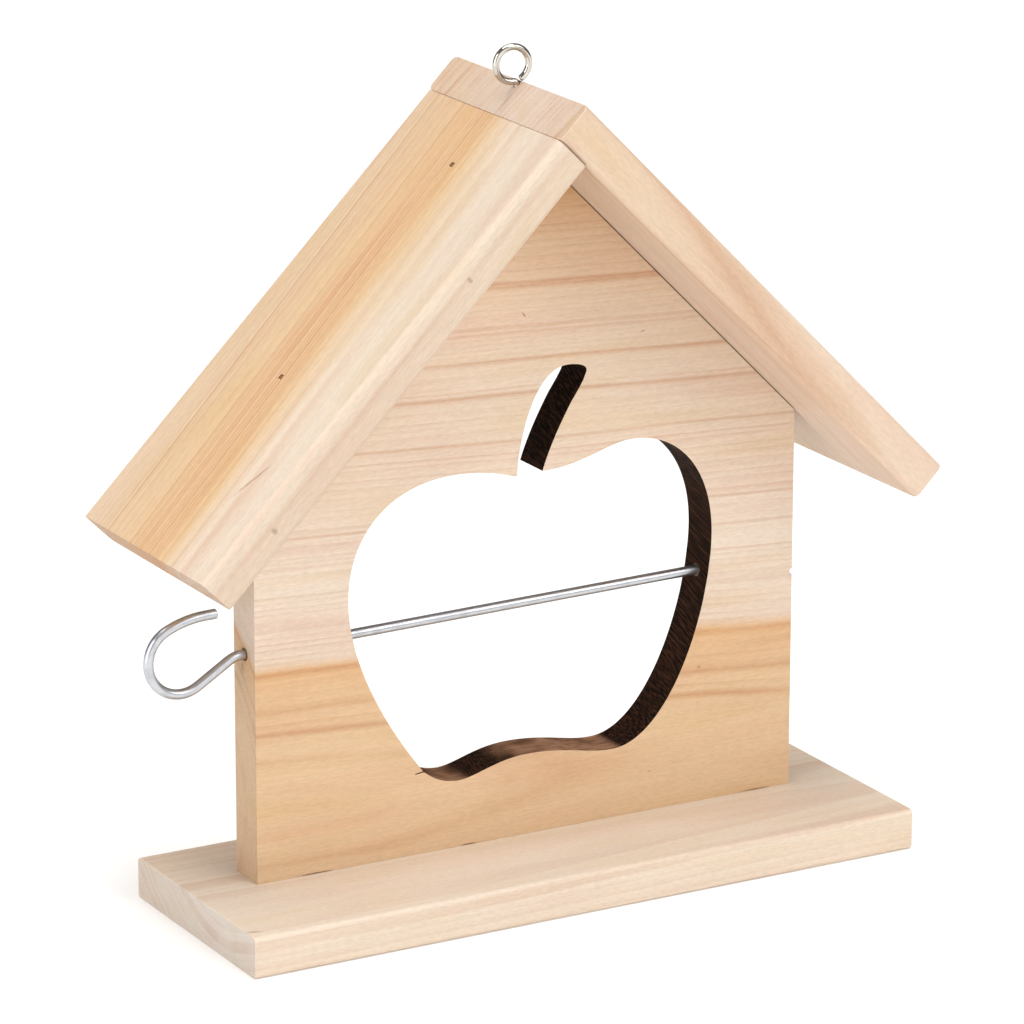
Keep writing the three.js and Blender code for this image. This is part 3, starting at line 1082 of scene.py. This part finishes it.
@dataclass
class ScrewEye:
    """The hanging eye: a wire ring on a threaded shank, driven into the ridge at a slight lean."""

    node: str = "screw_eye"
    name: str = "hanging_eye_wire"
    offset: float = 1
    lean: float = 15
    turn: float = 6
    radius: float = 1
    ring_radius: float = 5.1
    ring_height: float = 6.1
    neck_bend: float = 1.2
    gap_angle: float = 17
    shank: float = 14
    thread_radius: float = 1.4
    thread_pitch: float = 1.2
    plain: float = 2
    burr: float = 0.2

    def place(self) -> Matrix:
        """Finds the eye's frame.

        Returns:
            The frame in metres: Z along the shank, with 0 where it enters the wood.
        """
        offset = METRES * self.offset
        foot = Vector((-offset, middle(*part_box("house_panel")).y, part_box("roof_board_right")[1].z - offset))
        lean = Matrix.Rotation(math.radians(-self.lean), 4, "Y")
        return Matrix.Translation(foot) @ lean @ Matrix.Rotation(math.radians(-self.turn), 4, "Z")

    def build(self, nickel: Material) -> Object:
        """Bends the eye and cuts its thread.

        Args:
            nickel: The wire's plating.

        Returns:
            The screw eye.
        """
        core = 0.8 * self.radius
        drop = math.sqrt(self.ring_radius**2 + 2 * self.ring_radius * self.neck_bend)
        neck_turn = math.degrees(math.acos(self.neck_bend / (self.ring_radius + self.neck_bend)))
        wire = WireBender((0, -self.shank), 90, 28)
        wire.run(0.1, 0.1)
        wire.run(2.9, core)
        wire.run(self.shank - 3 - self.plain, core)
        wire.run(0.3, self.radius)
        wire.run(self.plain - 0.3 + self.ring_height - drop)
        wire.bend(self.neck_bend, neck_turn, 8)
        wire.bend(self.ring_radius, -(360 - (90 - neck_turn) - self.gap_angle), 4)
        wire.run(self.burr, self.radius - self.burr)
        bm = wire.finish()
        add_thread(bm, core, self.thread_radius, self.thread_pitch, -self.shank + 2, -self.plain)
        eye = make_object(self.name, bm, [nickel], self.place())
        return hand_over(eye, self.node)

    def dent(self, bruise_and_shade: Material) -> Object:
        """The cutter for the dent that the eye's shoulder presses into the ridge."""
        bm = turned([(0, -16), (1.1, -15), (1.1, -1), (1.25, 0.4), (1.5, 3), (0, 3)], 24)
        return make_object("dent", bm, [bruise_and_shade], self.place())


# ---- fasteners


@dataclass
class Brad:
    """A collated finishing brad: flat wire with a small tee head, punched just below the wood."""

    node: str
    own_frame: Matrix  # Z out of the wood, with 0 at the surface, metres
    length: float = 30
    shank: tuple[float, float] = (1.0, 1.25)
    head: tuple[float, float] = (1.25, 1.6)
    head_thick: float = 0.7
    sunk: float = 0.14
    point: float = 2
    point_size: tuple[float, float] = (0.3, 0.3)
    head_wear: float = 0.12
    pit: tuple[float, float] = (1.45, 1.8)

    def build(self, steel: Material) -> Object:
        """Makes the brad.

        Args:
            steel: Its finish.

        Returns:
            The brad.
        """
        top = -self.sunk
        low = top - self.length
        bm = block((*self.head, self.head_thick), (0, 0, top - self.head_thick / 2))
        rim = [e for e in bm.edges if all(v.co.z > top - 0.01 for v in e.verts)]
        round_over(bm, rim, self.head_wear, 2)
        under = min(bm.faces, key=lambda f: f.calc_center_median().z)
        self._narrow(bm, under, self.head, self.shank)
        for z in (low + self.point, low):
            under = bmesh.ops.extrude_discrete_faces(bm, faces=[under])["faces"][0]
            for vertex in under.verts:
                vertex.co.z = z
        self._narrow(bm, under, self.shank, self.point_size)
        clean(bm)
        brad = make_object(self.node + "_steel", bm, [steel], self.own_frame)
        return hand_over(brad, self.node)

    @staticmethod
    def _narrow(
        bm: BMesh, face: BMFace, before: tuple[float, float], after: tuple[float, float]
    ) -> None:
        """Insets a face's outline from one width and depth to another.

        Args:
            bm: The bmesh in millimetres.
            face: The face, which looks along Z.
            before: Its width and depth.
            after: The width and depth that it gets.
        """
        bmesh.ops.inset_individual(bm, faces=[face], thickness=1e-3, use_even_offset=True)
        scale = Matrix.Diagonal((after[0] / before[0], after[1] / before[1], 1))
        bmesh.ops.transform(bm, matrix=scale.to_4x4(), verts=face.verts[:])

    def punch(self, bruise_and_shade: Material) -> Object:
        """The cutter for the small pit that the nail gun leaves over the head."""
        depth = self.sunk + self.head_thick + 0.1
        return make_object("pit", block((*self.pit, 2 * depth)), [bruise_and_shade], self.own_frame)


@dataclass
class BaseScrew:
    """A countersunk wood screw with a cross recess, driven up through the base into the panel."""

    node: str
    head_radius: float = 3.5
    head_depth: float = 2.2
    rim: float = 0.4
    sunk: float = 0.4
    length: float = 30
    root_radius: float = 1.15
    thread_radius: float = 1.75
    thread_pitch: float = 1.8
    plain: float = 11
    point: float = 3
    recess: Triple = (4.0, 0.95, 3.2)
    recess_taper: float = 0.55  # the share of its width that it has at the bottom
    play: float = 0.25

    def place(self) -> Matrix:
        """The screw's frame in metres: Z up its shank, with 0 at the underside of the base."""
        return Matrix.Translation((*middle(*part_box(self.node)).xy, 0))

    def build(self, steel: Material) -> Object:
        """Turns the screw, cuts its thread and its recess.

        Args:
            steel: Its finish.

        Returns:
            The screw.
        """
        head, root = self.head_radius, self.root_radius
        face, tip = self.sunk, self.sunk + self.length
        rim, thread, taper = face + self.rim, face + self.plain, tip - self.point
        bm = turned([
            (0, face), (head - 0.15, face), (head, face + 0.15), (head, rim),
            (root + 0.5, rim + self.head_depth - 0.5), (root + 0.25, thread), (root, thread + 0.5),
            (root, taper), (0.15, tip - 0.1), (0, tip),
        ], 32)
        blank = make_object("screw blank", bm, [steel])
        for turn in (45, -45):
            slot = block(self.recess, (0, 0, face), turn)
            for vertex in slot.verts:
                if vertex.co.z > face:
                    vertex.co.xy *= self.recess_taper
            carve(blank, make_object("recess", slot, [steel]))
        bm = bmesh.new()
        bm.from_mesh(blank.data)
        bpy.data.objects.remove(blank)
        add_thread(bm, root, self.thread_radius, self.thread_pitch, thread, taper)
        screw = make_object(self.node + "_steel", bm, [steel], self.place())
        return hand_over(screw, self.node, crease=30)

    def countersink(self, bruise_and_shade: Material) -> Object:
        """The cutter for the screw's hole in the base board.

        Args:
            bruise_and_shade: The material of the hole's wall.

        Returns:
            The cutter.
        """
        head = self.head_radius + self.play
        shank = self.thread_radius + self.play
        rim = self.sunk + self.rim + self.play
        bm = turned([(0, -2), (head, -2), (head, rim), (shank, rim + head - shank), (shank, 20), (0, 20)], 32)
        return make_object("countersink", bm, [bruise_and_shade], self.place())


# ---- the whole feeder


@dataclass
class Feeder:
    """The feeder's boards, wires and fasteners."""

    roof_edge: float = 2
    base_edge: float = 1.5

    def __post_init__(self) -> None:
        """Sets up the frames of the boards and lists the fasteners."""
        self.left = slope_frame(-45)
        self.right = slope_frame(45)
        self.upright = Matrix.Rotation(math.pi / 2, 4, "X")
        self.flat = Matrix.Identity(4)
        self.eye = ScrewEye()
        self.screws = [BaseScrew("base_screw_left"), BaseScrew("base_screw_right")]
        outer = measured("roof_board_right", self.right)[1].z
        self.left_brads, self.right_brads, self.ridge_brads = (
            [self._brad(f"{row}_{place}", slope, outer) for place in places]
            for row, slope, places in (
                ("roof_brad_left", self.left, ("upper", "lower")),
                ("roof_brad_right", self.right, ("upper", "lower")),
                ("ridge_brad", self.right, ("front", "back")),
            )
        )

    @staticmethod
    def _brad(node: str, slope: Matrix, outer: float) -> Brad:
        """Places a brad over its CAD node, on the outer face of a roof board.

        Args:
            node: The brad's CAD node.
            slope: The roof board's frame, in metres.
            outer: The height of its outer face there, in millimetres.

        Returns:
            The brad.
        """
        place = middle(*measured(node, slope))
        place.z = outer
        return Brad(node, slope @ Matrix.Translation(place * METRES))

    def panel_wood(self) -> PlanedSoftwood:
        """Honey-coloured heartwood below and pinkish sapwood above, with the pith just behind the foot.

        Returns:
            The finish.
        """
        return PlanedSoftwood(
            name="softwood of the house front", board=self.upright,
            pith=(29.2, -51), lean=-0.035, dive=-0.02, ring=2.3,
            zones=((49, "#d9b994", 0.15), (55, "#d5b691", 0.25), (62.5, "#d3ae85", 0.4),
                   (65.4, "#d5ad80", 0.5), (67.2, "#d9c4b0", 0.45), (86, "#dccbb9", 0.5),
                   (106, "#dac5b0", 0.45), (127, "#d6c1ab", 0.35), (149, "#d6bfa7", 0.3),
                   # The zones from 190 mm, at the apex, are darker and more orange: partly the wood's own
                   # orange band, partly painted shade under the roof's ridge.
                   (159, "#d6bb9e", 0.3), (171, "#d2b595", 0.3), (190, "#c49562", 0.3),
                   (206, "#bd8c50", 0.3)),
            streaks=((52.2, 0.35, 0.9), (55.3, 0.45, 0.55), (58.8, 0.45, 0.55), (65.3, 1.4, 0.4),
                     (88.7, 0.8, 0.4), (96.2, 0.8, 0.6), (116.9, 0.9, 0.7), (129.2, 1.2, 0.5),
                     (139.2, 1.2, 0.5), (160.5, 2.2, 0.65)),
            end_tint="#e2e2e4", seed=1.3,
            marks=(
                Mark((-2.3, 170.8, 0), 2.6, 0.9, -50, strength=0.5),
                Mark((57.8, 54.8, 0), 0.7, 0.7, strength=0.8),
                Mark((40.8, 24.8, 0), 2.2, 0.5, 15, strength=0.45),
                Mark((37.4, 161.0, 0), 2.4, 0.5, 10, strength=0.6),
                # Along the panel's foot: a long thin dark line of painted contact shadow where the panel stands
                # on the base, and three short darker marks on it.
                Mark((0, 12.4, 0), 182, 0.5, strength=0.55),
                Mark((-71, 12.7, 0), 14, 0.7, strength=0.8),
                Mark((-21, 12.7, 0), 7, 0.7, strength=0.85),
                Mark((78, 12.7, 0), 13, 0.7, strength=0.7),
                # A faint upright dark streak below the skewer's hole, on the panel's left side.
                Mark((-90, 76.5, -8), 5.0, 0.9, 90, depth=0.7, strength=0.35),
            ),
        )

    def left_roof_wood(self) -> PlanedSoftwood:
        """Close orange rings along the brads, with pale wood in front of them.

        Returns:
            The finish.
        """
        return PlanedSoftwood(
            name="softwood of the left slope", board=self.left,
            pith=(-35, -25), lean=0.06, dive=0, ring=1.8,
            zones=((30, "#cfbba5", 0.1), (38, "#d6c6b3", 0.1), (44, "#d9c6b0", 0.2), (47, "#d6bd9f", 0.35),
                   (50, "#d4b38c", 0.8), (54, "#d2ae86", 1.0), (60, "#d3b089", 0.9), (68, "#d2b48f", 0.6),
                   (80, "#d1b799", 0.5), (92, "#d2b99f", 0.45), (104, "#d2b592", 0.5)),
            streaks=((33, 2.4, 0.2), (37.6, 2.0, 0.15), (42.2, 2.2, 0.2), (45.5, 1.5, 0.25)),
            wander=0.35, seed=4.1,
            marks=(
                Mark((-126.4, -23.9, 12.5), 19, 1.3, -24.6, strength=0.4),
                Mark((-134.8, -38.75, 5.6), 2.2, 1.2, 0, strength=0.4),
                Mark((-46, -38.75, 7.2), 1.6, 1.4, 0, strength=0.35),
            ),
        )

    def right_roof_wood(self) -> PlanedSoftwood:
        """Quarter-sawn wood: the rings stand straight through the board's thickness.

        Returns:
            The finish.
        """
        return PlanedSoftwood(
            name="softwood of the right slope", board=self.right,
            pith=(-150, -12), lean=-0.03, dive=0, ring=4.2,
            zones=((108, "#cfb8a2", 0.35), (114, "#d1b89e", 0.45), (118, "#d7c2ad", 0.5),
                   (140, "#d8c5b3", 0.5), (165, "#d5c0aa", 0.5), (192, "#d4ba9e", 0.5)),
            streaks=((115, 0.9, 0.5),),
            wander=0.7, end_tint="#f6f3f3", seed=7.7,
        )

    def base_wood(self) -> PlanedSoftwood:
        """Flat-sawn pale wood with the pith above the board, so that its end shows shallow arcs.

        Returns:
            The finish.
        """
        return PlanedSoftwood(
            name="softwood of the base", board=self.flat,
            pith=(-16, 58), lean=0.02, dive=0.01, ring=2.8,
            zones=((40, "#e1d2c0", 0.3), (48, "#dfcfbd", 0.3), (54, "#dac9b6", 0.35), (62, "#dac8b4", 0.4),
                   (84, "#dac5ae", 0.4)),
            wander=0.8, cloud=0.25, end_tint="#e6ebf3", seed=10.9,
            marks=(Mark((-107.8, -33.1, 12.5), 5.5, 0.6, -26, strength=0.95),),
        )

    def build(self) -> None:
        """Makes every piece."""
        bruise_and_shade = BruisedAndShadedWood().build()
        char = CharredCut().build()
        zinc = PlatedSteel("zinc plated drawn wire", "#c4c6ca", "#adafb4", 0.27, cloud=5).build()
        nickel = PlatedSteel(
            "polished nickel plate", "#c4beb4", "#b3ada3", 0.09, grain=(0.6, 0.6, 0.6),
        ).build()
        # Painted shade: the brads' steel is given a matt brown that stands for the shade in the holes over
        # their heads.
        shaded_brad_steel = PlatedSteel("resin coated brad wire", "#b48a60", "#8a6443", 0.6, cloud=0.8).build()
        screw_steel = PlatedSteel("bright zinc screw", "#c6c4bd", "#a5a29a", 0.25, cloud=2.5).build()

        Plank("base_board", "base_board_wood", Slot.PALE_SOFTWOOD, self.flat, self.base_wood(),
              self.base_edge, cutters=[screw.countersink for screw in self.screws]).build(bruise_and_shade)
        HousePanel().build(self.panel_wood(), char)
        Plank("roof_board_left", "left_slope_board", Slot.WARM_SOFTWOOD, self.left, self.left_roof_wood(),
              self.roof_edge, end_wear=0.2, snug=0.2,
              cutters=[brad.punch for brad in self.left_brads]).build(bruise_and_shade)
        right_holes = [brad.punch for brad in self.right_brads + self.ridge_brads]
        Plank("roof_board_right", "right_slope_board", Slot.PALE_SOFTWOOD, self.right, self.right_roof_wood(),
              self.roof_edge, cutters=[self.eye.dent, *right_holes]).build(bruise_and_shade)
        Skewer().build(zinc)
        self.eye.build(nickel)
        for brad in self.left_brads + self.right_brads + self.ridge_brads:
            brad.build(shaded_brad_steel)
        for screw in self.screws:
            screw.build(screw_steel)


@dataclass(frozen=True)
class Studio:
    """A pale floor, soft light from large lamps and a camera with a long lens."""

    floor_radius: float = 30
    target: Triple = (-0.0062, 0, 0.11235)
    azimuth: float = -29.331
    elevation: float = 16.732
    roll: float = 0.082
    distance: float = 1.6094
    lens: float = 195.3
    sensor: float = 36
    sky: float = 0.2
    overhead: float = 2.1  # watts for each square metre, through a ceiling of cloth
    ceiling: float = 50  # degrees that the ceiling fills
    lamp_side: float = 1.6
    lamps: tuple[tuple[str, Triple, float], ...] = (  # names, places in metres and watts
        ("key", (0.9, -1.6, 1.5), 24),
        ("front fill", (-0.4, -2.2, 0.6), 10),
        ("side fill", (-2.0, -0.3, 0.8), 25),
    )

    def build(self) -> None:
        """Sets up the floor, the light and the camera."""
        self._floor()
        bpy.context.scene.world = NodeSheet(bpy.data.worlds.new("studio")).finish(
            {"Color": (1, 1, 1, 1), "Strength": self.sky}, "Background", "OutputWorld")
        sun = bpy.data.lights.new("overhead", "SUN")
        sun.energy, sun.angle = self.overhead, math.radians(self.ceiling)
        self._show(bpy.data.objects.new("overhead", sun))
        for lamp in self.lamps:
            self._hang(*lamp)
        self._camera()
        bpy.context.scene.view_settings.view_transform = "Standard"

    @staticmethod
    def _show(thing: Object) -> None:
        """Puts a lamp or the camera into the scene."""
        bpy.context.scene.collection.objects.link(thing)

    def _floor(self) -> None:
        """Lays a round floor under the feeder."""
        bm = bmesh.new()
        bmesh.ops.create_circle(bm, cap_ends=True, radius=self.floor_radius, segments=96)
        paper = NodeSheet(bpy.data.materials.new("white paper sweep")).finish({
            "Base Color": linear("#fafaf9"), "Roughness": 0.9,
            "Emission Color": linear("#ffffff"), "Emission Strength": 0.07,
        })
        make_object("floor", bm, [paper])

    def _hang(self, name: str, place: Triple, power: float) -> None:
        """Hangs a square soft box that faces the feeder.

        Args:
            name: The lamp's name.
            place: Where it hangs, in metres.
            power: Its power in watts.
        """
        data = bpy.data.lights.new(name, "AREA")
        data.shape, data.size, data.energy = "SQUARE", self.lamp_side, power
        lamp = bpy.data.objects.new(name, data)
        lamp.location = place
        lamp.visible_camera = False
        lamp.rotation_euler = (Vector(self.target) - Vector(place)).to_track_quat("-Z", "Y").to_euler()
        self._show(lamp)

    def _camera(self) -> None:
        """Stands the camera to the left of the front, a little above the feeder."""
        azimuth, elevation = math.radians(self.azimuth), math.radians(self.elevation)
        level = math.cos(elevation)
        back = Vector((math.sin(azimuth) * level, -math.cos(azimuth) * level, math.sin(elevation)))
        data = bpy.data.cameras.new("camera")
        data.lens, data.sensor_width = self.lens, self.sensor
        camera = bpy.data.objects.new("camera", data)
        look = (-back).to_track_quat("-Z", "Y").to_matrix().to_4x4()
        roll = Matrix.Rotation(math.radians(self.roll), 4, "Z")
        camera.matrix_world = Matrix.Translation(Vector(self.target) + self.distance * back) @ look @ roll
        self._show(camera)
        bpy.context.scene.camera = camera


def main() -> None:
    """Builds the studio and the feeder."""
    logging.basicConfig(level=logging.INFO, format="%(name)s: %(message)s")
    Studio().build()
    Feeder().build()


if __name__ == "__main__":
    main()
